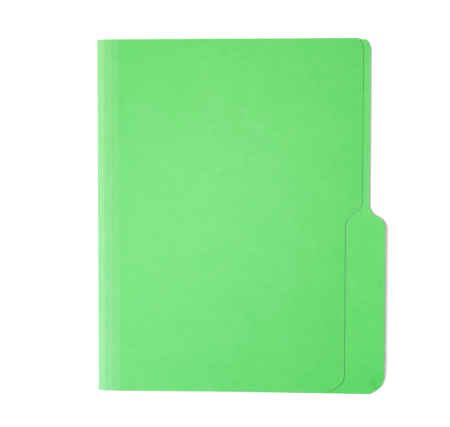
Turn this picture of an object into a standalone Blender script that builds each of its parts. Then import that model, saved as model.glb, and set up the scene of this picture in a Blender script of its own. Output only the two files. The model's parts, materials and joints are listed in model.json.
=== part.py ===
"""Letter-size file folder with a half-cut tab, lying closed on its back leaf.

The folder is one sheet of card, divided here at its creases: a back leaf with the tab, the main fold,
three narrow strips between pressed scores, and a front leaf. Lengths are in metres and angles in
degrees. X runs from the fold to the tab, Y along the fold and Z up. The origin is at the middle of
the folder's outline, on the table.
"""

import math

import bmesh
import bpy
from mathutils import Matrix

# Card and creases
CARD = 0.0003  # thickness of the card
FOLD_INNER_RADIUS = 0.0003  # hollow inside the main fold
SCORE_WIDTH = 0.0010  # width of a pressed score
CREASE_GAP = 0.0003  # clear space between a crease and the card beside it

# Leaves, measured on the sheet from the outer edge of the fold
FOLD_LENGTH = 0.29845  # along the fold, eleven and three quarter inches
BACK_DEPTH = 0.2300  # to the back leaf's edge above the tab
FRONT_DEPTH = 0.2242  # to the front leaf's free edge
STRIP_WIDTH = 0.00635  # from one score to the next, a quarter of an inch

# Half-cut tab and the notch in the front leaf that shows it, with shifts from the middle of the fold
TAB_DEPTH = 0.0132  # how far the tab stands out of the back leaf
TAB_SHIFT = 0.0016  # middle of the tab's step
NOTCH_DEPTH = 0.0142  # how far the front leaf is cut back over the tab
NOTCH_SHIFT = 0.0025  # middle of the notch's step
STEP_RADIUS = 0.0110  # both curves of a step
STEP_SLOPE = 64.0  # turn of a step's curves away from the free edge

# Corners, where rise is measured along the free edge
LOW_RADIUS = 0.0110  # corners at the tab end
LOW_SLOPE = 58.0  # turn of those corners before they run straight to the end edge
BACK_LOW_RISE = 0.0136
FRONT_LOW_RISE = 0.0150
BACK_TOP_RADIUS = 0.0085
BACK_TOP_RISE = 0.0085
FRONT_TOP_RADIUS = 0.0140
FRONT_TOP_RISE = 0.0100

# How the closed folder lies
STRIP_TILTS = (15.0, 6.0, 2.0)  # each strip above level, from the fold outwards
FREE_EDGE_GAP = 0.0005  # air under the front leaf's free edge

SQUARE = 90.0  # most that a rounded corner can turn

# Fineness of the curves
CURVE_STEPS = 12
FOLD_STEPS = 20
SCORE_SIDES = 16

# Colours, linear
CARD_GREEN = (0.165, 0.730, 0.190, 1.0)
CREASE_GREEN = (0.230, 0.770, 0.250, 1.0)

# Sizes that follow from the ones above
FOLD_RADIUS = FOLD_INNER_RADIUS + CARD
OVERALL_DEPTH = BACK_DEPTH + TAB_DEPTH
HALF_LENGTH = FOLD_LENGTH / 2
FOLD_EDGE = -OVERALL_DEPTH / 2
SHEET_OFFSET = FOLD_RADIUS - CARD / 2  # from the fold's axis to the middle of the card
CREASE_CLEAR = SCORE_WIDTH / 2 + CREASE_GAP  # from a score's axis to the card beside it
FIRST_SCORE = STRIP_WIDTH - FOLD_RADIUS  # from the fold's axis to the first score, along the strip
FRONT_REACH = FRONT_DEPTH - 3 * STRIP_WIDTH  # front leaf beyond the last score


def clear_scene():
    """Remove everything that the new scene starts with."""
    for item in list(bpy.data.objects):
        bpy.data.objects.remove(item, do_unlink=True)


def last_score_height():
    """Return the height of the last score's axis above the table."""
    first, second, third = (math.sin(math.radians(tilt)) for tilt in STRIP_TILTS)
    fold_top = FOLD_RADIUS + SHEET_OFFSET * math.cos(math.radians(STRIP_TILTS[0]))
    return fold_top + FIRST_SCORE * first + STRIP_WIDTH * (second + third)


def front_tilt():
    """Return the tilt that brings the front leaf's free edge down to its gap above the back leaf."""
    edge_height = CARD + FREE_EDGE_GAP + CARD / 2
    fall = (last_score_height() - edge_height) / FRONT_REACH
    return -math.degrees(math.asin(fall))


def step_points(low_edge, high_edge, shift):
    """Return the S-shaped step from one free edge to the other, going up along the fold."""
    slope = math.radians(STEP_SLOPE)
    depth = abs(high_edge - low_edge)
    side = math.copysign(1.0, high_edge - low_edge)
    radius = min(STEP_RADIUS, depth / (2 * (1 - math.cos(slope))))
    straight = (depth - 2 * radius * (1 - math.cos(slope))) / math.sin(slope)
    half_rise = radius * math.sin(slope) + straight * math.cos(slope) / 2
    turns = [slope * k / CURVE_STEPS for k in range(CURVE_STEPS + 1)]
    points = []
    for turn in turns:
        inward = radius * (1 - math.cos(turn))
        points.append((low_edge + side * inward, shift - half_rise + radius * math.sin(turn)))
    for turn in reversed(turns):
        inward = radius * (1 - math.cos(turn))
        points.append((high_edge - side * inward, shift + half_rise - radius * math.sin(turn)))
    return points


def corner_points(edge, end, radius, rise, slope):
    """Return a leaf's corner from its end edge to its free edge.

    The curve leaves the free edge at the rise, turns by the slope and then runs straight to the end
    edge. A curve that reaches the end edge sooner stops there.
    """
    inward = -math.copysign(1.0, end)
    turn_most = min(math.radians(slope), math.asin(min(1.0, rise / radius)))
    left_over = rise - radius * math.sin(turn_most)
    points = []
    if left_over > CARD:
        run = radius * (1 - math.cos(turn_most)) + left_over * math.tan(turn_most)
        points.append((edge - run, end))
    for k in range(CURVE_STEPS + 1):
        turn = turn_most * (1 - k / CURVE_STEPS)
        height = end + inward * (rise - radius * math.sin(turn))
        points.append((edge - radius * (1 - math.cos(turn)), height))
    return points


def leaf_outline(start, low_corner, step, top_corner):
    """Return a leaf's outline, from its end at the crease round by the tab's half.

    The step runs from the low edge over the tab's half to the high edge above it.
    """
    low_edge, high_edge, _ = step
    points = [(start, HALF_LENGTH), (start, -HALF_LENGTH)]
    points += corner_points(low_edge, -HALF_LENGTH, *low_corner)
    points += step_points(*step)
    points += reversed(corner_points(high_edge, HALF_LENGTH, *top_corner))
    return points


def fold_outline():
    """Return the section of the bent card at the main fold, about the fold's axis."""
    first = math.radians(90 + STRIP_TILTS[0])
    last = math.radians(270)
    angles = [first + (last - first) * k / FOLD_STEPS for k in range(FOLD_STEPS + 1)]
    outer = [(FOLD_RADIUS * math.cos(a), FOLD_RADIUS * math.sin(a)) for a in angles]
    inner = [(FOLD_INNER_RADIUS * math.cos(a), FOLD_INNER_RADIUS * math.sin(a)) for a in angles]
    return outer + inner[::-1]


def sheet_mesh(name, outline, thickness):
    """Return a closed plate of this outline and thickness, centred on its own plane."""
    curve = bpy.data.curves.new(name, "CURVE")
    curve.dimensions = "2D"
    curve.fill_mode = "BOTH"
    curve.extrude = thickness / 2
    spline = curve.splines.new("POLY")
    spline.points.add(len(outline) - 1)
    for point, (x, y) in zip(spline.points, outline):
        point.co = (x, y, 0.0, 1.0)
    spline.use_cyclic_u = True
    holder = bpy.data.objects.new(name, curve)
    bpy.context.scene.collection.objects.link(holder)
    depsgraph = bpy.context.evaluated_depsgraph_get()
    mesh = bpy.data.meshes.new_from_object(holder.evaluated_get(depsgraph))
    bpy.data.objects.remove(holder, do_unlink=True)
    bpy.data.curves.remove(curve)
    welded = bmesh.new()
    welded.from_mesh(mesh)
    bmesh.ops.remove_doubles(welded, verts=welded.verts, dist=CARD / 1000)
    bmesh.ops.recalc_face_normals(welded, faces=welded.faces)
    welded.to_mesh(mesh)
    welded.free()
    return mesh


def strip_mesh(name, start, end, height):
    """Return a flat strip of card as long as the fold, with its middle at this height."""
    middle = Matrix.Translation(((start + end) / 2, 0.0, height))
    sizes = Matrix.Diagonal((end - start, FOLD_LENGTH, CARD, 1.0))
    built = bmesh.new()
    bmesh.ops.create_cube(built, size=1.0, matrix=middle @ sizes)
    mesh = bpy.data.meshes.new(name)
    built.to_mesh(mesh)
    built.free()
    return mesh


def score_mesh(name, place, height):
    """Return the pressed line of card at a score, oval in section and as thick as the card."""
    middle = Matrix.Translation((place, 0.0, height))
    turned = Matrix.Rotation(math.radians(90), 4, "X")
    sizes = Matrix.Diagonal((SCORE_WIDTH, CARD, FOLD_LENGTH, 1.0))
    built = bmesh.new()
    bmesh.ops.create_cone(
        built,
        cap_ends=True,
        segments=SCORE_SIDES,
        radius1=0.5,
        radius2=0.5,
        depth=1.0,
        matrix=middle @ turned @ sizes,
    )
    mesh = bpy.data.meshes.new(name)
    built.to_mesh(mesh)
    built.free()
    return mesh


def card_material(name, colour):
    """Return an uncoated card material."""
    material = bpy.data.materials.new(name)
    material.use_nodes = True
    shader = material.node_tree.nodes["Principled BSDF"]
    shader.inputs["Base Color"].default_value = colour
    shader.inputs["Roughness"].default_value = 0.8
    return material


def add_pivot(name, parent, place, tilt):
    """Return an empty on a crease's axis, tilted from the card before it and turning what follows it."""
    pivot = bpy.data.objects.new(name, None)
    pivot.empty_display_size = STRIP_WIDTH
    pivot.parent = parent
    pivot.location = place
    pivot.rotation_euler = (0.0, -math.radians(tilt), 0.0)
    bpy.context.scene.collection.objects.link(pivot)
    return pivot


def add_part(parts, mesh, pivot, colour):
    """Put a mesh in the parts collection under its own name, turning with a pivot."""
    mesh.materials.clear()
    mesh.materials.append(card_material(mesh.name, colour))
    part = bpy.data.objects.new(mesh.name, mesh)
    part.parent = pivot
    parts.objects.link(part)
    return part


def build():
    """Build the folder's pieces."""
    clear_scene()
    parts = bpy.data.collections.new("file_folder")
    bpy.context.scene.collection.children.link(parts)

    # Creases, each carried by the card before it
    first, second, third = STRIP_TILTS
    fold = add_pivot("main_fold_pivot", None, (FOLD_EDGE + FOLD_RADIUS, 0.0, FOLD_RADIUS), first)
    pivot_1 = add_pivot("score_1_pivot", fold, (FIRST_SCORE, 0.0, SHEET_OFFSET), second - first)
    pivot_2 = add_pivot("score_2_pivot", pivot_1, (STRIP_WIDTH, 0.0, 0.0), third - second)
    pivot_3 = add_pivot("score_3_pivot", pivot_2, (STRIP_WIDTH, 0.0, 0.0), front_tilt() - third)

    # Back leaf, which lies level on the table, and the card bent round at the main fold
    back_start = FOLD_RADIUS + CREASE_GAP
    outline = leaf_outline(
        back_start,
        (LOW_RADIUS, BACK_LOW_RISE, LOW_SLOPE),
        (OVERALL_DEPTH, BACK_DEPTH, TAB_SHIFT),
        (BACK_TOP_RADIUS, BACK_TOP_RISE, SQUARE),
    )
    back = add_part(parts, sheet_mesh("back_leaf", outline, CARD), None, CARD_GREEN)
    back.location = (FOLD_EDGE, 0.0, CARD / 2)
    bend = sheet_mesh("main_fold", fold_outline(), FOLD_LENGTH)
    bent = add_part(parts, bend, None, CREASE_GREEN)
    bent.location = fold.location
    bent.rotation_euler = (math.radians(90), 0.0, 0.0)

    # First strip, which turns about the fold and has to swing clear round it
    swing = FOLD_RADIUS + CREASE_GAP
    strip_start = math.sqrt(swing**2 - FOLD_INNER_RADIUS**2)
    strip = strip_mesh("strip_1", strip_start, FIRST_SCORE - CREASE_CLEAR, SHEET_OFFSET)
    add_part(parts, strip, fold, CARD_GREEN)
    add_part(parts, score_mesh("score_1", FIRST_SCORE, SHEET_OFFSET), fold, CREASE_GREEN)

    # Second and third strips, each turning about the score before it
    for number, pivot in ((2, pivot_1), (3, pivot_2)):
        strip = strip_mesh(f"strip_{number}", CREASE_CLEAR, STRIP_WIDTH - CREASE_CLEAR, 0.0)
        add_part(parts, strip, pivot, CARD_GREEN)
        add_part(parts, score_mesh(f"score_{number}", STRIP_WIDTH, 0.0), pivot, CREASE_GREEN)

    # Front leaf, which turns about the last score
    outline = leaf_outline(
        CREASE_CLEAR,
        (LOW_RADIUS, FRONT_LOW_RISE, LOW_SLOPE),
        (FRONT_REACH - NOTCH_DEPTH, FRONT_REACH, NOTCH_SHIFT),
        (FRONT_TOP_RADIUS, FRONT_TOP_RISE, SQUARE),
    )
    add_part(parts, sheet_mesh("front_leaf", outline, CARD), pivot_3, CARD_GREEN)


build()
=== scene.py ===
"""Dress the card file folder: one die-cut sheet of green card, folded, scored and lying closed.

The sheet is built in four lengths that meet in the middle of the scored strips, so that each length
bends at one crease. Sizes are in metres and angles in degrees, unless a docstring says otherwise. X runs
from the fold to the tab, Y along the fold and Z up.
"""

import json
import logging
import math
from dataclasses import dataclass, field
from enum import Enum, IntEnum

import bpy
import numpy as np
from mathutils import Matrix, Vector


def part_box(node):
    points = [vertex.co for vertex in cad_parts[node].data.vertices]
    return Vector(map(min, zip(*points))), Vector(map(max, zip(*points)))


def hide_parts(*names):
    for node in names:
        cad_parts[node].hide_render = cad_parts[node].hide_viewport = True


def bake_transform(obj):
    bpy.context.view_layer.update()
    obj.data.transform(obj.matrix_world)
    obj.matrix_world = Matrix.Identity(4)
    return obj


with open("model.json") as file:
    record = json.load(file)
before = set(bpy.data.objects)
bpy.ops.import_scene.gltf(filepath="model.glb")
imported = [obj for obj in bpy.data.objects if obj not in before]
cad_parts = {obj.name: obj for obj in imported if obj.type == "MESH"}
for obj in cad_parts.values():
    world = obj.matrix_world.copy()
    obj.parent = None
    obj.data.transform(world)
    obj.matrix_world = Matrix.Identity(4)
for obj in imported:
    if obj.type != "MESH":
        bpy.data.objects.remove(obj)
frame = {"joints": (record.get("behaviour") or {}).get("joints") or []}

log = logging.getLogger("file_folder")

MILLIMETRES = 1000.0

Colour = tuple[float, float, float]
Pair = tuple[float, float]
Socket = bpy.types.NodeSocket


class Crease(Enum):
    """The four creases, by the names of their hinges."""

    MAIN_FOLD = "main_fold_hinge"
    SCORE_1 = "score_1_hinge"
    SCORE_2 = "score_2_hinge"
    SCORE_3 = "score_3_hinge"

    @property
    def hinge(self) -> dict:
        """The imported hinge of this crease."""
        return next(joint for joint in frame["joints"] if joint["name"] == self.value)

    @property
    def axis(self) -> Vector:
        """A point on the crease's axis."""
        return Vector(self.hinge["pos_m"])

    @property
    def opening(self) -> float:
        """How far the crease opens, in degrees."""
        return self.hinge["range_deg"][1]


class Side(Enum):
    """The two faces of the card, by the sign of their distance from its middle."""

    OUTSIDE = 1
    INSIDE = -1


class Finish(IntEnum):
    """The finishes of the card, in the order of a mesh's material slots."""

    OUTSIDE = 0
    INSIDE = 1
    CUT_EDGE = 2


class Attribute(Enum):
    """What each point of the card carries for its finish."""

    FLAT_PLACE = "flat_place"
    # rubbed: real wear, and on the strips' outside also painted sheen
    RUBBED_AND_SHEEN = "rubbed"
    # pressed: pressed lines, and on the inside painted shade in the creases
    PRESSED_AND_SHADE = "pressed"


def rgba(colour: Colour) -> tuple[float, float, float, float]:
    """Return a colour with full cover."""
    return (*colour, 1.0)


def smooth_step(value: np.ndarray) -> np.ndarray:
    """Return the value held between 0 and 1 and eased at both ends."""
    held = np.clip(value, 0.0, 1.0)
    return held * held * (3.0 - 2.0 * held)


class NodeBench:
    """Adds and joins the nodes of one material or world."""

    def __init__(self, owner: bpy.types.ID) -> None:
        """Start with an empty node tree.

        Args:
            owner: The material or world that the nodes belong to.
        """
        owner.use_nodes = True
        self.tree = owner.node_tree
        self.tree.nodes.clear()

    def add(
        self, kind: str, inputs: dict[str | int, object] | None = None, **settings: object
    ) -> bpy.types.Node:
        """Add a node, set it up and join what feeds it.

        Args:
            kind: The node's type name without its ShaderNode prefix.
            inputs: A socket or a plain value for each input, by name or number.
            settings: The node's own properties.

        Returns:
            The new node.
        """
        node = self.tree.nodes.new(f"ShaderNode{kind}")
        for name, value in settings.items():
            setattr(node, name, value)
        for name, value in (inputs or {}).items():
            if isinstance(value, Socket):
                self.tree.links.new(value, node.inputs[name])
            else:
                node.inputs[name].default_value = value
        return node

    def attribute(self, which: Attribute, output: str) -> Socket:
        """Return one output of a stored attribute."""
        return self.add("Attribute", attribute_name=which.value).outputs[output]

    def noise(self, place: Socket, scale: float, detail: float = 2.0, roughness: float = 0.5) -> Socket:
        """Return a cloudy value round one half.

        Args:
            place: Where on the card, in millimetres.
            scale: Blotches for each millimetre.
            detail: How many finer layers are added.
            roughness: How strong the finer layers are.

        Returns:
            The noise value.
        """
        inputs = {"Vector": place, "Scale": scale, "Detail": detail, "Roughness": roughness}
        return self.add("TexNoise", inputs).outputs["Fac"]

    def sum_up(self, operation: str, first: Socket | float, second: Socket | float) -> Socket:
        """Return two values joined by a named operation of arithmetic."""
        return self.add("Math", {0: first, 1: second}, operation=operation).outputs[0]

    def millimetres(self) -> Socket:
        """Return the place on the card when flat, in millimetres."""
        inputs = {0: self.attribute(Attribute.FLAT_PLACE, "Vector"), "Scale": MILLIMETRES}
        return self.add("VectorMath", inputs, operation="SCALE").outputs[0]

    def spread(self, value: Socket, old: Pair, new: Pair = (0.0, 1.0)) -> Socket:
        """Return a value moved from one range to another and held inside it."""
        inputs = {0: value, 1: old[0], 2: old[1], 3: new[0], 4: new[1]}
        return self.add("MapRange", inputs, clamp=True).outputs[0]

    def mix(self, share: Socket, first: Socket | tuple, second: Socket | tuple) -> Socket:
        """Return the second colour laid over the first by a share."""
        return self.add("Mix", {0: share, 6: first, 7: second}, data_type="RGBA").outputs[2]

    def seen_by_eye(self) -> Socket:
        """Tell what the camera sees, straight or in a reflection or through glass.

        Returns:
            1 for what it sees, or else 0.
        """
        path = self.add("LightPath")
        seen = path.outputs["Is Camera Ray"]
        for name in ("Is Glossy Ray", "Is Transmission Ray"):
            seen = self.sum_up("MAXIMUM", seen, path.outputs[name])
        return seen


@dataclass(frozen=True)
class CardFinish:
    """Uncoated green card with soft clouds, short fibres, a few flecks and a fine tooth."""

    name: str
    thin_colour: Colour = (0.044, 0.556, 0.064)
    full_colour: Colour = (0.078, 0.586, 0.098)
    fibre_colour: Colour = (0.130, 0.620, 0.150)
    fleck_colour: Colour = (0.038, 0.470, 0.058)
    # Rubbed wear at the cut edges and the fold; on the strips it is also painted sheen.
    worn_and_sheen_colour: Colour = (0.418, 0.701, 0.480)
    # The rubbed colour's top end: painted warm sheen towards the top of the fold.
    worn_and_warm_sheen_colour: Colour = (0.381, 0.676, 0.340)
    # Pale pressed lines outside; the inside's deep value is painted crease shade.
    pressed_and_shade_colour: Colour = (0.190, 0.600, 0.210)
    cloud_scale: float = 0.035
    cloud_range: Pair = (0.30, 0.70)
    mottle_scale: float = 0.16
    mottle_detail: Pair = (3.0, 0.55)
    mottle_share: float = 0.60
    fibre_size: tuple[float, float, float] = (1.8, 0.2, 1.0)
    fibre_turns: tuple[float, ...] = (17.0, 74.0, 133.0)
    fibre_detail: Pair = (1.5, 0.4)
    fibre_range: Pair = (0.56, 0.74)
    fibre_share: float = 0.20
    fibre_height: float = 0.5
    fleck_scale: float = 0.40
    fleck_detail: float = 1.0
    fleck_range: Pair = (0.60, 0.74)
    fleck_share: float = 0.20
    pressed_and_shade_share: float = 0.15
    warm_sheen_span: Pair = (-150.0, 150.0)
    patch_range: Pair = (0.35, 0.60)
    patchy_share: Pair = (0.85, 1.0)
    tooth_scale: float = 3.2
    tooth_range: Pair = (0.3, 0.7)
    roughness: Pair = (0.34, 0.42)
    rubbed_roughness: float = 0.83
    gloss: float = 0.58
    bump_depth: float = 0.00004
    bump_strength: float = 0.35

    def fibres(self, bench: NodeBench, place: Socket) -> Socket:
        """Return where short fibres lie, in a few directions at once.

        Args:
            bench: The material's nodes.
            place: Where on the card, in millimetres.

        Returns:
            A value from 0, no fibre, to 1.
        """
        found: Socket | None = None
        for turn in self.fibre_turns:
            rotation = (0.0, 0.0, math.radians(turn))
            inputs = {"Vector": place, "Rotation": rotation, "Scale": self.fibre_size}
            turned = bench.add("Mapping", inputs, vector_type="TEXTURE")
            streaks = bench.noise(turned.outputs["Vector"], 1.0, *self.fibre_detail)
            fibre = bench.spread(streaks, self.fibre_range)
            found = fibre if found is None else bench.sum_up("MAXIMUM", found, fibre)
        return found

    def colour(self, bench: NodeBench, place: Socket, clouds: Socket, fibres: Socket) -> Socket:
        """Return the card's colour with clouds, fibres, flecks, rubbed places, painted sheen and painted
        crease shade.

        Args:
            bench: The material's nodes.
            place: Where on the card, in millimetres.
            clouds: How full the card is.
            fibres: Where fibres lie.

        Returns:
            The colour.
        """
        fullness = bench.spread(clouds, self.cloud_range)
        colour = bench.mix(fullness, rgba(self.thin_colour), rgba(self.full_colour))
        fibre = bench.sum_up("MULTIPLY", fibres, self.fibre_share)
        colour = bench.mix(fibre, colour, rgba(self.fibre_colour))
        marks = bench.noise(place, self.fleck_scale, self.fleck_detail)
        fleck = bench.spread(marks, self.fleck_range, (0.0, self.fleck_share))
        colour = bench.mix(fleck, colour, rgba(self.fleck_colour))
        # Outside a pale pressed line; inside a deep colour that is painted crease shade.
        pressed = bench.attribute(Attribute.PRESSED_AND_SHADE, "Fac")
        pressed = bench.sum_up("MULTIPLY", pressed, self.pressed_and_shade_share)
        colour = bench.mix(pressed, colour, rgba(self.pressed_and_shade_colour))
        # Painted warm sheen: the rubbed colour turns warmer towards the top.
        height = bench.add("SeparateXYZ", {0: place}).outputs["Y"]
        warm_sheen_share = bench.spread(height, self.warm_sheen_span)
        wear_and_painted_light = bench.mix(warm_sheen_share, rgba(self.worn_and_sheen_colour), rgba(self.worn_and_warm_sheen_colour))
        # The share is rubbed wear and, on the strips by the fold, painted sheen.
        patches = bench.spread(clouds, self.patch_range, self.patchy_share)
        share = bench.sum_up("MULTIPLY", bench.attribute(Attribute.RUBBED_AND_SHEEN, "Fac"), patches)
        return bench.mix(share, colour, wear_and_painted_light)

    def clouds(self, bench: NodeBench, place: Socket) -> Socket:
        """Return how full the card is, in wide clouds and a finer mottle.

        Args:
            bench: The material's nodes.
            place: Where on the card, in millimetres.

        Returns:
            A value round one half.
        """
        wide = bench.noise(place, self.cloud_scale)
        mottle = bench.noise(place, self.mottle_scale, *self.mottle_detail)
        wide = bench.sum_up("MULTIPLY", wide, 1.0 - self.mottle_share)
        return bench.sum_up("ADD", wide, bench.sum_up("MULTIPLY", mottle, self.mottle_share))

    def material(self) -> bpy.types.Material:
        """Make the card's material.

        Returns:
            The material.
        """
        material = bpy.data.materials.new(self.name)
        bench = NodeBench(material)
        place = bench.millimetres()
        fibres = self.fibres(bench, place)
        tooth = bench.noise(place, self.tooth_scale)
        height = bench.sum_up("ADD", tooth, bench.sum_up("MULTIPLY", fibres, self.fibre_height))
        settings = {"Height": height, "Strength": self.bump_strength, "Distance": self.bump_depth}
        bump = bench.add("Bump", settings)
        rubbed = bench.attribute(Attribute.RUBBED_AND_SHEEN, "Fac")
        wear_and_painted_light = bench.sum_up("MULTIPLY", bench.sum_up("MULTIPLY", rubbed, rubbed), self.rubbed_roughness)
        plain = bench.spread(tooth, self.tooth_range, self.roughness)
        shader = bench.add(
            "BsdfPrincipled",
            {
                "Base Color": self.colour(bench, place, self.clouds(bench, place), fibres),
                "Roughness": bench.sum_up("ADD", plain, wear_and_painted_light),
                "Specular IOR Level": self.gloss,
                "Normal": bump.outputs["Normal"],
            },
        )
        bench.add("OutputMaterial", {"Surface": shader.outputs["BSDF"]})
        return material


@dataclass(frozen=True)
class CutEdgeFinish:
    """The card's cut edge, rough with cut fibres and a little deeper in colour than its faces, partly
    painted shade along the edges.
    """

    name: str = "cut_edge"
    # Deep end of the grain, partly painted shade along the cut edges.
    deep_shade_colour: Colour = (0.050, 0.450, 0.065)
    pale_colour: Colour = (0.090, 0.560, 0.105)
    grain_scale: float = 2.5
    grain_detail: Pair = (3.0, 0.6)
    grain_range: Pair = (0.35, 0.65)
    roughness: float = 0.85
    bump_depth: float = 0.00005
    bump_strength: float = 0.4

    def material(self) -> bpy.types.Material:
        """Make the cut edge's material.

        Returns:
            The material.
        """
        material = bpy.data.materials.new(self.name)
        bench = NodeBench(material)
        grain = bench.noise(bench.millimetres(), self.grain_scale, *self.grain_detail)
        share = bench.spread(grain, self.grain_range)
        settings = {"Height": grain, "Strength": self.bump_strength, "Distance": self.bump_depth}
        bump = bench.add("Bump", settings)
        shader = bench.add(
            "BsdfPrincipled",
            {
                "Base Color": bench.mix(share, rgba(self.deep_shade_colour), rgba(self.pale_colour)),
                "Roughness": self.roughness,
                "Normal": bump.outputs["Normal"],
            },
        )
        bench.add("OutputMaterial", {"Surface": shader.outputs["BSDF"]})
        return material


@dataclass(frozen=True)
class CardStock:
    """The card that the folder is cut from."""

    thickness: float = 0.0003
    edge_round: float = 0.00005
    behind_edge: tuple[float, ...] = (0.0004, 0.0010)
    edge_rub: float = 0.12
    rub_reach: float = 0.0006
    sharp_angle: float = 30.0
    outside: CardFinish = CardFinish("green_card_outside")
    # The inside's deep pressed colour is painted shade in the fold and along the scores.
    inside: CardFinish = CardFinish(
        "green_card_inside", pressed_and_shade_colour=(0.024, 0.330, 0.036), pressed_and_shade_share=0.55, gloss=0.53
    )
    edge: CutEdgeFinish = CutEdgeFinish()

    @property
    def edge_rows(self) -> tuple[float, ...]:
        """Distances from a cut edge to the first few rows of points."""
        return (0.0, self.edge_round, *self.behind_edge)

    def materials(self) -> list[bpy.types.Material]:
        """Return the materials in the order of Finish, each made once."""
        finishes = (self.outside, self.inside, self.edge)
        return [bpy.data.materials.get(finish.name) or finish.material() for finish in finishes]


@dataclass(frozen=True)
class FreeEdge:
    """A leaf's die-cut free edge: how deep the leaf is at each place along the fold."""

    low_depth: float
    high_depth: float
    step_shift: float
    low_rise: float
    top_radius: float
    top_rise: float
    half_length: float
    low_radius: float = 0.0110
    low_slope: float = 58.0
    top_slope: float = 90.0
    step_radius: float = 0.0110
    step_slope: float = 64.0
    curve_rows: int = 14
    row_spacing: float = 0.0035

    @property
    def half_rise(self) -> float:
        """Work out half of the step's length along the fold.

        Returns:
            The length from the middle of the step to where its curves end.
        """
        slope = math.radians(self.step_slope)
        depth = abs(self.high_depth - self.low_depth)
        straight = (depth - 2 * self.step_radius * (1 - math.cos(slope))) / math.sin(slope)
        return self.step_radius * math.sin(slope) + straight * math.cos(slope) / 2

    def corner_cut(self, height: np.ndarray, radius: float, rise: float, slope: float) -> np.ndarray:
        """Return how much a rounded corner takes off the leaf's depth.

        Args:
            height: Distance from the end edge along the fold.
            radius: Radius of the corner.
            rise: Where the curve leaves the free edge, measured from the end edge.
            slope: Turn after which the corner runs straight to the end edge.

        Returns:
            The depth taken off.
        """
        turn = min(math.radians(slope), math.asin(min(1.0, rise / radius)))
        curved = radius * math.sin(turn)
        bow = radius - np.sqrt(radius**2 - np.clip(rise - height, 0.0, curved) ** 2)
        if curved < rise:
            bow = bow + np.clip(rise - curved - height, 0.0, None) * math.tan(turn)
        return bow

    def depth(self, along: np.ndarray) -> np.ndarray:
        """Return the leaf's depth at each place along the fold.

        Args:
            along: Places along the fold.

        Returns:
            The depths, with the step and both rounded corners.
        """
        slope = math.radians(self.step_slope)
        reach = self.step_radius * math.sin(slope)
        offset = np.clip(along - self.step_shift, -self.half_rise, self.half_rise)
        inner = self.half_rise - np.abs(offset)
        bow = self.step_radius - np.sqrt(self.step_radius**2 - np.clip(inner, 0.0, reach) ** 2)
        bow += np.clip(inner - reach, 0.0, None) * math.tan(slope)
        change = self.high_depth - self.low_depth
        side = math.copysign(1.0, change)
        stepped = np.where(offset < 0, self.low_depth + side * bow, self.high_depth - side * bow)
        low = self.corner_cut(along + self.half_length, self.low_radius, self.low_rise, self.low_slope)
        top = self.corner_cut(self.half_length - along, self.top_radius, self.top_rise, self.top_slope)
        return stepped - low - top

    def rows(self, stock: CardStock) -> np.ndarray:
        """Return places along the fold, close together where the edge curves.

        Args:
            stock: The card, whose cut ends get rows of their own.

        Returns:
            The places, from the tab end up.
        """
        half = self.half_length
        turns = np.sin(np.linspace(0.0, math.pi / 2, self.curve_rows))
        low = -half + self.low_rise - np.minimum(self.low_radius * turns, self.low_rise)
        top = half - self.top_rise + np.minimum(self.top_radius * turns, self.top_rise)
        step = self.step_shift + np.linspace(-self.half_rise, self.half_rise, 3 * self.curve_rows)
        ends = np.array(stock.edge_rows)
        plain = np.linspace(-half, half, round(2 * half / self.row_spacing) + 1)
        curved = np.concatenate([low, top, step])
        apart = np.abs(plain[:, None] - curved[None, :]).min(axis=1) > self.row_spacing / 3
        every = np.concatenate([plain[apart], curved, -half + ends, half - ends])
        every = np.unique(np.round(np.clip(every, -half, half), 7))
        return every[np.concatenate([[True], np.diff(every) > stock.edge_round / 2])]


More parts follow.
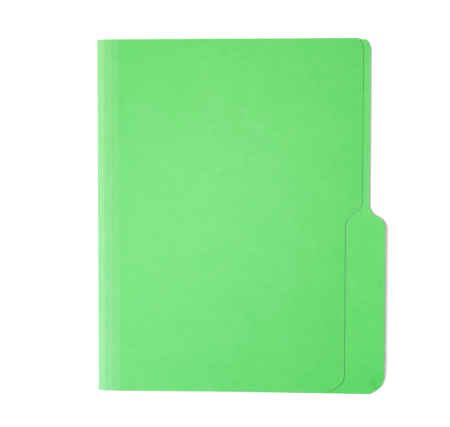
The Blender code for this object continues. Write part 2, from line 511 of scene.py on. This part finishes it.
@dataclass(frozen=True)
class FoldedSection:
    """The course of the card's middle round the fold and over the scores, seen along the fold.

    Places on it are told by their run: the distance along the card from where the back leaf turns into
    the fold, with the back leaf before it and the front leaf after it.
    """

    bend_radius: float = 0.00045
    score_half: float = 0.0005
    groove_depth: float = 0.00005
    groove_width: float = 0.00040
    # Strip levels: partly wear, partly painted sheen where the strips tilt towards the light.
    strip_wear_and_sheen: tuple[float, float, float] = (0.60, 0.40, 0.20)
    strip_level_blend: float = 0.0008
    fold_rub: float = 0.6

    @property
    def scores(self) -> list[Vector]:
        """The axes of the three scores, from the fold outwards."""
        return [crease.axis for crease in (Crease.SCORE_1, Crease.SCORE_2, Crease.SCORE_3)]

    @property
    def first_length(self) -> float:
        """Length of the first strip from the fold's bend to the first score."""
        away = self.scores[0] - Crease.MAIN_FOLD.axis
        return math.sqrt(away.length_squared - self.bend_radius**2)

    @property
    def tilts(self) -> list[float]:
        """Work out how the three strips and the front leaf slope.

        Returns:
            Their tilts, in radians above level.
        """
        first, second, third = self.scores
        away = first - Crease.MAIN_FOLD.axis
        tilts = [math.atan2(away.z, away.x) - math.asin(self.bend_radius / away.length)]
        for start, end in ((first, second), (second, third)):
            tilts.append(math.atan2(end.z - start.z, end.x - start.x))
        return tilts + [tilts[-1] - math.radians(Crease.SCORE_3.opening)]

    @property
    def bend_run(self) -> float:
        """Run at the end of the fold's bend."""
        return self.bend_radius * (math.pi - self.tilts[0])

    @property
    def score_runs(self) -> list[float]:
        """Work out how far along the card the scores are.

        Returns:
            The runs of the three scores, from the fold outwards.
        """
        runs = [self.bend_run + self.first_length]
        for start, end in zip(self.scores, self.scores[1:]):
            runs.append(runs[-1] + (end - start).length)
        return runs

    def pressed(self, run: np.ndarray) -> np.ndarray:
        """Return how hard the scores press the card.

        Args:
            run: Distances along the card.

        Returns:
            A value from 0 to 1 in the middle of a score.
        """
        found = np.zeros_like(run)
        for score in self.score_runs:
            found = np.maximum(found, np.exp(-(((run - score) / self.groove_width) ** 2)))
        return found

    def spine_wear_and_sheen(self, run: np.ndarray) -> np.ndarray:
        """Return the share of rubbed colour on the outside of each strip, partly real wear and partly
        painted sheen, most next to the fold.

        Args:
            run: Distances along the card.

        Returns:
            A value from 0, neither rubbed nor painted, to 1.
        """
        found = np.zeros_like(run)
        levels = (0.0, *self.strip_wear_and_sheen, 0.0)
        starts = [self.bend_run / 2] + self.score_runs
        for start, before, after in zip(starts, levels, levels[1:]):
            found += (after - before) * smooth_step((run - start) / (2 * self.strip_level_blend) + 0.5)
        bend = np.clip(run / self.bend_run, 0.0, 1.0)
        return np.maximum(found, self.fold_rub * np.sin(math.pi * bend))

    def crease_shade(self, run: np.ndarray) -> np.ndarray:
        """Return how much painted shade the inside gets in its creases, which is most in the fold and at
        the scores.
        """
        half = self.bend_run / 2
        return np.maximum(self.pressed(run), np.clip(1.0 - np.abs(run - half) / half, 0.0, 1.0))

    def course(self, run: np.ndarray) -> tuple[np.ndarray, np.ndarray]:
        """Return the card's middle and its outward direction at each run.

        Args:
            run: Distances along the card.

        Returns:
            Points and outward directions, each as pairs of X and Z.
        """
        fold = Crease.MAIN_FOLD.axis
        turn = np.clip(run, 0.0, self.bend_run) / self.bend_radius
        out_x, out_z = -np.sin(turn), -np.cos(turn)
        place_x = fold.x + self.bend_radius * out_x - np.minimum(run, 0.0)
        place_z = fold.z + self.bend_radius * out_z
        tilt = np.where(run > self.bend_run, self.tilts[0], 0.0)
        past = np.clip(run - self.bend_run, 0.0, self.first_length)
        place_x = place_x + past * math.cos(self.tilts[0])
        place_z = place_z + past * math.sin(self.tilts[0])
        inward = np.zeros_like(run)
        ends = self.score_runs[1:] + [math.inf]
        for number, (start, end) in enumerate(zip(self.score_runs, ends), start=1):
            before, after = self.tilts[number - 1], self.tilts[number]
            past = np.clip(run - start, 0.0, end - start)
            place_x = place_x + past * math.cos(after)
            place_z = place_z + past * math.sin(after)
            share = np.clip((run - start) / (2 * self.score_half) + 0.5, 0.0, 1.0)
            tilt = tilt + share * (after - before)
            near = np.clip(self.score_half - np.abs(run - start), 0.0, None)
            inward = inward + (before - after) / (4 * self.score_half) * near**2
        on_strips = run > self.bend_run
        out_x = np.where(on_strips, -np.sin(tilt), out_x)
        out_z = np.where(on_strips, np.cos(tilt), out_z)
        inward = inward + self.groove_depth * self.pressed(run)
        out = np.stack([out_x, out_z], axis=-1)
        return np.stack([place_x, place_z], axis=-1) - inward[..., None] * out, out


@dataclass
class CardLength:
    """One length of the folded sheet, which bends at a single crease."""

    name: str
    crease: Crease
    stock: CardStock
    section: FoldedSection
    half_length: float
    stands_for: tuple[str, ...]
    start_run: float = 0.0
    end_run: float = 0.0
    crease_steps: tuple[float, ...] = (-1.0, -0.7, -0.5, -0.35, -0.2, 0.0, 0.2, 0.35, 0.5, 0.7, 1.0)
    row_count: int = 87

    def crease_columns(self, run: float) -> np.ndarray:
        """Return runs close together round a score."""
        return run + 2 * self.section.score_half * np.array(self.crease_steps)

    def rows(self) -> np.ndarray:
        """Choose the places along the fold where the mesh has a row.

        Returns:
            The places, from the tab end up.
        """
        ends = np.array(self.stock.edge_rows)
        plain = np.linspace(-self.half_length, self.half_length, self.row_count)[1:-1]
        return np.sort(np.concatenate([plain, -self.half_length + ends, self.half_length - ends]))

    def columns(self, along: np.ndarray) -> np.ndarray:
        """Return the runs of the mesh's columns for each row.

        Args:
            along: The rows' places along the fold.

        Returns:
            One line of rising runs for each row.
        """
        score = self.section.score_runs[[Crease.SCORE_1, Crease.SCORE_2].index(self.crease)]
        runs = np.concatenate([[self.start_run], self.crease_columns(score), [self.end_run]])
        return np.repeat(runs[None, :], len(along), axis=0)

    def cut_sides(self) -> tuple[bool, bool]:
        """Return whether the first and the last column are cut edges."""
        return False, False

    def inward(self, run: np.ndarray, along: np.ndarray) -> np.ndarray:
        """Return how far the card lies inward of its flat shape."""
        return np.zeros_like(run)

    def askew(self, run: np.ndarray) -> np.ndarray:
        """Return how far along the fold the card has slipped at each run."""
        return np.zeros_like(run)

    def edge_wear(self, away: np.ndarray) -> np.ndarray:
        """Return how rubbed the card is at a distance from a cut edge."""
        return self.stock.edge_rub * np.exp(-np.clip(away, 0.0, None) / self.stock.rub_reach)

    def rubbed(self, run: np.ndarray, along: np.ndarray) -> np.ndarray:
        """Return how rubbed the card is, which is most at its ends and cut edges."""
        return self.edge_wear(self.half_length - np.abs(along))

    def bend_span(self) -> tuple[Vector, Vector]:
        """Find where the card turns from one body to the next.

        Returns:
            The points at the start and the end of the turn.
        """
        number = list(Crease).index(self.crease)
        tilts = self.section.tilts
        heading = (tilts[number - 1] + tilts[number]) / 2
        step = Vector((math.cos(heading), 0.0, math.sin(heading))) * self.section.score_half
        return self.crease.axis - step, self.crease.axis + step

    def mesh(self) -> bpy.types.Mesh:
        """Make the length of card as one closed sheet with its finishes.

        Returns:
            The mesh, which carries the finish's attributes.
        """
        rows = self.rows()
        run = self.columns(rows)
        along = np.repeat(rows[:, None], run.shape[1], axis=1)
        across = along + self.askew(run)
        middle, out = self.section.course(run)
        middle = middle - self.inward(run, along)[..., None] * out
        half = np.full(run.shape, self.stock.thickness / 2)
        thin = self.stock.thickness / 2 - self.stock.edge_round
        half[[0, -1], :] = thin
        for cut, column in zip(self.cut_sides(), (0, -1)):
            if cut:
                half[:, column] = thin
        count = run.size
        points = np.zeros((2 * count, 3))
        flat = np.zeros((2 * count, 3))
        for number, side in enumerate(Side):
            face = middle + side.value * half[..., None] * out
            part = slice(number * count, (number + 1) * count)
            points[part] = np.stack([face[..., 0], across, face[..., 1]], axis=-1).reshape(-1, 3)
            flat[part] = np.stack([run, along, side.value * half], axis=-1).reshape(-1, 3)
        faces, finishes = self.faces(*run.shape)
        mesh = bpy.data.meshes.new(self.name)
        mesh.from_pydata(points.tolist(), [], faces)
        for finish in self.stock.materials():
            mesh.materials.append(finish)
        mesh.polygons.foreach_set("material_index", finishes)
        mesh.shade_smooth()
        mesh.set_sharp_from_angle(angle=math.radians(self.stock.sharp_angle))
        place = mesh.attributes.new(Attribute.FLAT_PLACE.value, "FLOAT_VECTOR", "POINT")
        place.data.foreach_set("vector", flat.ravel())
        self.store_wear_and_painted_light(mesh, run, along)
        mesh.validate()
        return mesh

    def store_wear_and_painted_light(self, mesh: bpy.types.Mesh, run: np.ndarray, along: np.ndarray) -> None:
        """Store how rubbed and how pressed the card is at each point, with its painted sheen and painted
        crease shade, on its outside and then its inside.

        Args:
            mesh: The length of card.
            run: The points' distances along the card.
            along: Their places along the fold.
        """
        edges = self.rubbed(run, along)
        spine_and_sheen = np.maximum(edges, self.section.spine_wear_and_sheen(run))
        creases = (self.section.pressed(run), self.section.crease_shade(run))
        wear_and_painted_light = {Attribute.RUBBED_AND_SHEEN: (spine_and_sheen, edges), Attribute.PRESSED_AND_SHADE: creases}
        for which, sides in wear_and_painted_light.items():
            stored = mesh.attributes.new(which.value, "FLOAT", "POINT")
            stored.data.foreach_set("value", np.concatenate([values.ravel() for values in sides]))

    def faces(self, rows: int, columns: int) -> tuple[list[list[int]], list[int]]:
        """Return the closed sheet's faces and the finish of each.

        Args:
            rows: Number of rows of points.
            columns: Number of points in each row.

        Returns:
            The points of each face, and the number of its Finish.
        """
        outside = np.arange(rows * columns).reshape(rows, columns)
        inside = outside + rows * columns
        first_cut, last_cut = self.cut_sides()
        rim_row = np.zeros(rows - 1, bool)
        rim_row[[0, -1]] = True
        rim_column = np.zeros(columns - 1, bool)
        rim_column[0], rim_column[-1] = first_cut, last_cut
        rim = (rim_row[:, None] | rim_column[None, :]).ravel()
        corners = [(0, 0), (0, 1), (1, 1), (1, 0)]

        def grid(points: np.ndarray, order: list[tuple[int, int]]) -> np.ndarray:
            """Return the quads of one face, with their corners in this order."""
            cut = [points[r : rows - 1 + r, c : columns - 1 + c].ravel() for r, c in order]
            return np.stack(cut, axis=1)

        def wall(upper: np.ndarray, lower: np.ndarray) -> np.ndarray:
            """Return the quads between two lines of points."""
            return np.stack([upper[:-1], lower[:-1], lower[1:], upper[1:]], axis=1)

        quads = [grid(outside, corners), grid(inside, corners[::-1])]
        kinds = [np.where(rim, Finish.CUT_EDGE, plain) for plain in (Finish.OUTSIDE, Finish.INSIDE)]
        lines = (
            (outside[0], inside[0]),
            (outside[-1][::-1], inside[-1][::-1]),
            (outside[:, 0][::-1], inside[:, 0][::-1]),
            (outside[:, -1], inside[:, -1]),
        )
        for upper, lower in lines:
            quads.append(wall(upper, lower))
            kinds.append(np.full(len(upper) - 1, Finish.CUT_EDGE))
        return np.concatenate(quads).tolist(), np.concatenate(kinds).tolist()

    def build(self) -> bpy.types.Object:
        """Make the finished length and hide the parts that it stands for.

        Returns:
            The piece.
        """
        piece = bpy.data.objects.new(self.name, self.mesh())
        bpy.context.scene.collection.objects.link(piece)
        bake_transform(piece)
        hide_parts(*self.stands_for)
        return piece


@dataclass
class Leaf(CardLength):
    """A length of card that ends in a die-cut free edge."""

    edge: FreeEdge = field(kw_only=True)
    from_edge: tuple[float, ...] = ()
    middle_columns: int = 0

    def rows(self) -> np.ndarray:
        """Return the places along the fold where the mesh has a row."""
        return self.edge.rows(self.stock)

    def depth(self, run: np.ndarray) -> np.ndarray:
        """Return how far each run is from where the leaf's depth is measured."""
        raise NotImplementedError

    def edge_columns(self) -> np.ndarray:
        """Return the distances from the free edge to the columns beside it."""
        return np.array([*self.stock.edge_rows, *self.from_edge])

    def between(self, first: np.ndarray, last: np.ndarray) -> np.ndarray:
        """Return evenly spaced columns between two others."""
        share = np.linspace(0.0, 1.0, self.middle_columns + 2)[1:-1]
        return first * (1 - share) + last * share

    def rubbed(self, run: np.ndarray, along: np.ndarray) -> np.ndarray:
        """Return how rubbed the leaf is, which is most at its cut edges."""
        free = self.edge_wear(self.edge.depth(along) - self.depth(run))
        return np.maximum(super().rubbed(run, along), free)


@dataclass
class BackLeaf(Leaf):
    """The back leaf with its tab, the main fold and the first half strip."""

    fold_columns: int = 15
    near_fold: tuple[float, ...] = (0.0004, 0.0010, 0.0022, 0.0045, 0.0085, 0.0140, 0.0200)
    from_edge: tuple[float, ...] = (
        0.0020, 0.0030, 0.0042, 0.0056, 0.0072, 0.0090, 0.0110, 0.0132, 0.0156, 0.0182, 0.0210,
    )
    middle_columns: int = 34
    bend_slant: float = 0.05
    slip: float = -0.0032
    tab_curl: Pair = (0.1770, 0.00135)
    margin_curl: Pair = (0.2075, 0.00050)
    end_curl: float = 0.5
    end_reach: float = 0.030
    buckle_start: Pair = (0.2320, 0.0126)
    buckle_end: Pair = (0.2366, 0.0050)
    buckle_drop: float = 0.00055
    buckle_blend: float = 0.0020
    buckle_fade: Pair = (0.0100, 0.0060)

    @property
    def fold_edge(self) -> float:
        """How far the fold's outer edge lies beyond the end of the flat leaf."""
        return self.section.bend_radius + self.stock.thickness / 2

    def depth(self, run: np.ndarray) -> np.ndarray:
        """Return how far each run on the back leaf is from the fold's outer edge."""
        return self.fold_edge - run

    def columns(self, along: np.ndarray) -> np.ndarray:
        """Return the runs of the mesh's columns, from the free edge to the first strip.

        Args:
            along: The rows' places along the fold.

        Returns:
            One line of rising runs for each row.
        """
        edge = self.fold_edge - self.edge.depth(along)
        outer = edge[:, None] + self.edge_columns()[None, :]
        inner = -np.array(self.near_fold)[::-1]
        span = self.between(outer[:, -1:], inner[0])
        bend = np.linspace(0.0, self.section.bend_run, self.fold_columns)
        rest = np.concatenate([inner, bend, [(self.section.bend_run + self.end_run) / 2, self.end_run]])
        return np.concatenate([outer, span, np.repeat(rest[None, :], len(along), axis=0)], axis=1)

    def cut_sides(self) -> tuple[bool, bool]:
        """Return that the first column is the free edge and the last meets the next length."""
        return True, False

    def askew(self, run: np.ndarray) -> np.ndarray:
        """Return how far along the fold the leaf has slipped, which grows away from the fold."""
        return self.slip * np.clip(-run, 0.0, None)

    def curl(self, deep: np.ndarray, along: np.ndarray) -> np.ndarray:
        """Return how far the free edge curls up, on the tab and beside it, and less at the tab's end.

        Args:
            deep: Distances from the fold's outer edge.
            along: Places along the fold.

        Returns:
            The height of the curl.
        """
        on_tab = smooth_step((self.edge.step_shift - along) / (2 * self.edge.half_rise) + 0.5)
        found = np.zeros_like(deep)
        curls = (
            (self.tab_curl, self.edge.low_depth, on_tab),
            (self.margin_curl, self.edge.high_depth, 1 - on_tab),
        )
        for (start, lift), edge, share in curls:
            found += share * lift * np.clip((deep - start) / (edge - start), 0.0, None) ** 2
        away = smooth_step((along + self.half_length) / self.end_reach)
        return found * (self.end_curl + (1 - self.end_curl) * away)

    def buckle(self, deep: np.ndarray, along: np.ndarray) -> np.ndarray:
        """Return how far the tab's bottom corner is bent back down across a short crease.

        Args:
            deep: Distances from the fold's outer edge.
            along: Places along the fold.

        Returns:
            The drop towards the corner.
        """
        start, end = np.array(self.buckle_start), np.array(self.buckle_end)
        heading = (end - start) / np.linalg.norm(end - start)
        height = along + self.half_length
        past = (height - start[1]) * heading[0] - (deep - start[0]) * heading[1]
        fade_start, fade_length = self.buckle_fade
        fade = 1.0 - smooth_step((height - fade_start) / fade_length)
        return self.buckle_drop * fade * smooth_step(past / (2 * self.buckle_blend) + 0.5)

    def inward(self, run: np.ndarray, along: np.ndarray) -> np.ndarray:
        """Return how far the leaf lifts off the table at its curled free edge."""
        deep = self.depth(run)
        return np.clip(self.curl(deep, along) - self.buckle(deep, along), 0.0, None)

    def bend_span(self) -> tuple[Vector, Vector]:
        """Find where the card turns over, across the hollow of the fold.

        Returns:
            The points at the start and the end of the turn.
        """
        fold = Crease.MAIN_FOLD.axis
        start = Vector((fold.x, 0.0, self.stock.thickness))
        height = 2 * (fold.z - self.stock.thickness)
        return start, start + Vector((-self.bend_slant * height, 0.0, height))


@dataclass
class FrontLeaf(Leaf):
    """The front leaf and the last half strip, which turn about the last score."""

    near_score: tuple[float, ...] = (0.0018, 0.0035, 0.0065, 0.0110, 0.0160)
    from_edge: tuple[float, ...] = (0.0025, 0.0050, 0.0085, 0.0130)
    middle_columns: int = 40
    slip: float = 0.0014
    sag: float = 0.00015

    def depth(self, run: np.ndarray) -> np.ndarray:
        """Return how far each run on the front leaf is from the last score."""
        return run - self.section.score_runs[-1]

    def columns(self, along: np.ndarray) -> np.ndarray:
        """Return the runs of the mesh's columns, from the last strip to the free edge.

        Args:
            along: The rows' places along the fold.

        Returns:
            One line of rising runs for each row.
        """
        score = self.section.score_runs[-1]
        near = score + np.array(self.near_score)
        inner = np.concatenate([[self.start_run], self.crease_columns(score), near])
        outer = score + self.edge.depth(along)[:, None] - self.edge_columns()[None, ::-1]
        span = self.between(inner[-1], outer[:, :1])
        return np.concatenate([np.repeat(inner[None, :], len(along), axis=0), span, outer], axis=1)

    def cut_sides(self) -> tuple[bool, bool]:
        """Return that the first column meets the length before and the last is the free edge."""
        return False, True

    def askew(self, run: np.ndarray) -> np.ndarray:
        """Return how far along the fold the leaf has slipped, which grows away from the fold."""
        return self.slip * (run - self.start_run)

    def inward(self, run: np.ndarray, along: np.ndarray) -> np.ndarray:
        """Return how far the leaf sags between the fold and its free edge."""
        share = np.clip(self.depth(run) / self.edge.high_depth, 0.0, 1.0)
        return self.sag * np.sin(math.pi * share) ** 2


@dataclass
class Folder:
    """The whole folder: four lengths of one sheet."""

    stock: CardStock = field(default_factory=CardStock)
    section: FoldedSection = field(default_factory=FoldedSection)
    back_depth: float = 0.2300
    front_depth: float = 0.2242
    strip_width: float = 0.00635
    tab_depth: float = 0.0132
    tab_shift: float = 0.0016
    notch_depth: float = 0.0142
    notch_shift: float = 0.0025
    back_low_rise: float = 0.0136
    front_low_rise: float = 0.0150
    back_top: Pair = (0.0115, 0.0090)
    front_top: Pair = (0.0140, 0.0100)

    def lengths(self) -> list[CardLength]:
        """Lay out the lengths of card, which meet in the middle of the strips.

        Returns:
            The four lengths, from the back leaf to the front leaf.
        """
        low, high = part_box("back_leaf")
        half = (high.y - low.y) / 2
        shared = {"stock": self.stock, "section": self.section, "half_length": half}
        first, second, third = self.section.score_runs
        seams = [(self.section.bend_run + first) / 2, (first + second) / 2, (second + third) / 2]
        depth, reach = self.back_depth, self.front_depth - 3 * self.strip_width
        tab, notch = depth + self.tab_depth, reach - self.notch_depth
        back_edge = FreeEdge(tab, depth, self.tab_shift, self.back_low_rise, *self.back_top, half)
        front_edge = FreeEdge(notch, reach, self.notch_shift, self.front_low_rise, *self.front_top, half)
        back = BackLeaf(
            "back_leaf_card", Crease.MAIN_FOLD, stands_for=("back_leaf", "main_fold"),
            end_run=seams[0], edge=back_edge, **shared,
        )
        inner = CardLength(
            "first_score_card", Crease.SCORE_1, stands_for=("strip_1", "score_1"),
            start_run=seams[0], end_run=seams[1], **shared,
        )
        outer = CardLength(
            "second_score_card", Crease.SCORE_2, stands_for=("strip_2", "score_2"),
            start_run=seams[1], end_run=seams[2], **shared,
        )
        front = FrontLeaf(
            "front_leaf_card", Crease.SCORE_3, stands_for=("strip_3", "score_3", "front_leaf"),
            start_run=seams[2], edge=front_edge, **shared,
        )
        return [back, inner, outer, front]

    def build(self) -> list[bpy.types.Object]:
        """Return the folder's pieces."""
        return [length.build() for length in self.lengths()]


@dataclass(frozen=True)
class FloorFinish:
    """A white floor that keeps the folder's shadow and runs out into plain white round it."""

    name: str = "white_floor"
    colour: Colour = (0.98, 0.98, 0.98)
    glow: Pair = (0.03, 1.0)
    glow_reach: Pair = (0.40, 1.10)

    def material(self) -> bpy.types.Material:
        """Make the floor's material.

        Returns:
            The material.
        """
        material = bpy.data.materials.new(self.name)
        bench = NodeBench(material)
        matt = bench.add("BsdfDiffuse", {"Color": rgba(self.colour)})
        place = bench.add("NewGeometry").outputs["Position"]
        away = bench.add("VectorMath", {0: place}, operation="LENGTH").outputs["Value"]
        strength = bench.spread(away, self.glow_reach, self.glow)
        strength = bench.sum_up("MULTIPLY", bench.seen_by_eye(), strength)
        glow = bench.add("Emission", {"Strength": strength})
        both = bench.add("AddShader", {0: matt.outputs[0], 1: glow.outputs[0]})
        bench.add("OutputMaterial", {"Surface": both.outputs[0]})
        return material


class Tint(Enum):
    """The colour of a lamp's light."""

    PLAIN = (1.0, 1.0, 1.0)
    WARM = (1.0, 0.87, 0.77)
    COOL = (0.85, 0.88, 1.0)


@dataclass(frozen=True)
class SoftLamp:
    """A wide lamp behind cloth, aimed at the middle of the folder.

    A lamp that isn't in the sheen lights the card without a bright patch where the card mirrors it.
    """

    name: str
    place: tuple[float, float, float]
    size: Pair
    power: float
    tint: Tint = Tint.PLAIN
    in_sheen: bool = True


@dataclass(frozen=True)
class Studio:
    """Floor, soft light from the left and the camera above the folder."""

    floor_size: float = 6.0
    floor_drop: float = 0.00002
    fill: float = 0.15
    lamps: tuple[SoftLamp, ...] = (
        SoftLamp("side_lamp", (-10.0, 1.76, 6.45), (2.25, 2.25), 1350.0, in_sheen=False),
        SoftLamp("top_softbox", (-0.08, 0.08, 1.20), (0.45, 0.45), 3.50, Tint.WARM),
        SoftLamp("left_softbox", (-0.21, -0.10, 1.20), (0.45, 0.30), 2.05, Tint.COOL),
        SoftLamp("near_softbox", (-0.34, -0.44, 1.20), (0.35, 0.35), 2.60, Tint.COOL),
    )
    camera_place: tuple[float, float, float] = (0.03576, 0.04006, 0.84480)
    camera_aim: tuple[float, float, float] = (-0.01307, 0.00264, 0.0)
    camera_up: tuple[float, float, float] = (-0.00132, 1.0, 0.0)
    lens: float = 80.0
    sensor: float = 36.0
    floor: FloorFinish = FloorFinish()

    @staticmethod
    def facing(place: Vector, aim: Vector, up: Vector) -> Matrix:
        """Return the pose of a lamp or camera that looks at a point.

        Args:
            place: Where it stands.
            aim: The point it looks at.
            up: The direction that is up in its picture.

        Returns:
            Its matrix in the room.
        """
        forward = (aim - place).normalized()
        right = forward.cross(up).normalized()
        turn = Matrix((right, right.cross(forward), -forward)).transposed()
        return Matrix.Translation(place) @ turn.to_4x4()

    def add_floor(self) -> None:
        """Lay the floor just under the folder."""
        half = self.floor_size / 2
        mesh = bpy.data.meshes.new("floor")
        corners = [(-half, -half, 0.0), (half, -half, 0.0), (half, half, 0.0), (-half, half, 0.0)]
        mesh.from_pydata(corners, [], [(0, 1, 2, 3)])
        mesh.materials.append(self.floor.material())
        floor = bpy.data.objects.new("floor", mesh)
        floor.location.z = -self.floor_drop
        bpy.context.scene.collection.objects.link(floor)

    def add_world(self) -> None:
        """Light the room evenly, with white where the camera looks past the floor."""
        world = bpy.data.worlds.new("white_room")
        bench = NodeBench(world)
        strength = bench.spread(bench.seen_by_eye(), (0.0, 1.0), (self.fill, 1.0))
        background = bench.add("Background", {"Color": rgba(Tint.PLAIN.value), "Strength": strength})
        bench.add("OutputWorld", {"Surface": background.outputs[0]})
        bpy.context.scene.world = world

    def add_lamps(self) -> None:
        """Hang the soft lamps above the folder, out of the camera's sight."""
        for soft in self.lamps:
            lamp = bpy.data.lights.new(soft.name, "AREA")
            lamp.shape = "RECTANGLE"
            lamp.size, lamp.size_y = soft.size
            lamp.energy = soft.power
            lamp.color = soft.tint.value
            holder = bpy.data.objects.new(soft.name, lamp)
            holder.matrix_world = self.facing(Vector(soft.place), Vector(), Vector((0, 1, 0)))
            holder.visible_camera = False
            holder.visible_glossy = soft.in_sheen
            bpy.context.scene.collection.objects.link(holder)

    def add_camera(self) -> None:
        """Set the camera almost straight above the folder."""
        camera = bpy.data.cameras.new("camera")
        camera.lens = self.lens
        camera.sensor_width = self.sensor
        holder = bpy.data.objects.new("camera", camera)
        place, aim = Vector(self.camera_place), Vector(self.camera_aim)
        holder.matrix_world = self.facing(place, aim, Vector(self.camera_up))
        bpy.context.scene.collection.objects.link(holder)
        bpy.context.scene.camera = holder

    def build(self) -> None:
        """Set up the whole studio."""
        self.add_floor()
        self.add_world()
        self.add_lamps()
        self.add_camera()
        bpy.context.scene.view_settings.view_transform = "Standard"


def main() -> None:
    """Build the folder and the studio."""
    logging.basicConfig(level=logging.INFO, format="%(name)s: %(message)s")
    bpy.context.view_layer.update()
    Studio().build()
    for piece in Folder().build():
        log.info("%s: %d points", piece.name, len(piece.data.vertices))


if __name__ == "__main__":
    main()
